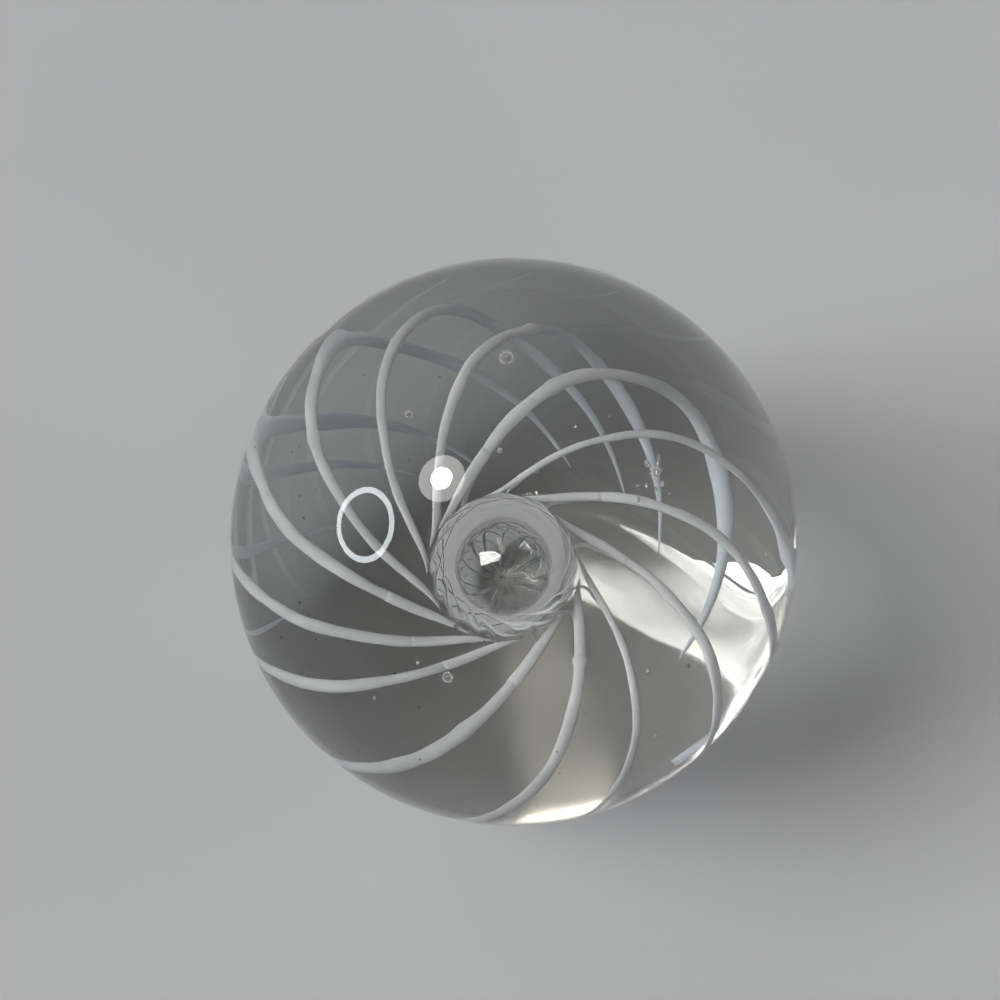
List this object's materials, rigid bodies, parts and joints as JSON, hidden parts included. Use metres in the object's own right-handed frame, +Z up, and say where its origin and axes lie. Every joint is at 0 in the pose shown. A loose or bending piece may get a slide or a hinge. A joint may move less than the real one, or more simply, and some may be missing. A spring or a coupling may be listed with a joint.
{
  "type": "glass paperweight",
  "caption": "Clear glass ball on a ground flat, with white glass threads swirling round a trapped air bubble.",
  "frame": {"origin": "centre of the ground flat that the ball stands on", "axes": "+Z up through the ball, -Y the front, +X to the right"},
  "size_m": [0.08, 0.08, 0.0757],
  "materials": {
    "clear_glass": "polished clear glass, with a fine ground flat underneath",
    "white_glass": "opaque white glass, sealed in the clear glass"
  },
  "bodies": {
    "root": {"clear_glass": "clear_glass", "white_thread_1": "white_glass", "white_thread_2": "white_glass", "white_thread_3": "white_glass", "white_thread_4": "white_glass", "white_thread_5": "white_glass", "white_thread_6": "white_glass", "white_thread_7": "white_glass", "white_thread_8": "white_glass", "white_thread_9": "white_glass", "white_thread_10": "white_glass", "white_thread_11": "white_glass", "white_thread_12": "white_glass", "white_thread_13": "white_glass"}
  },
  "joints": []
}
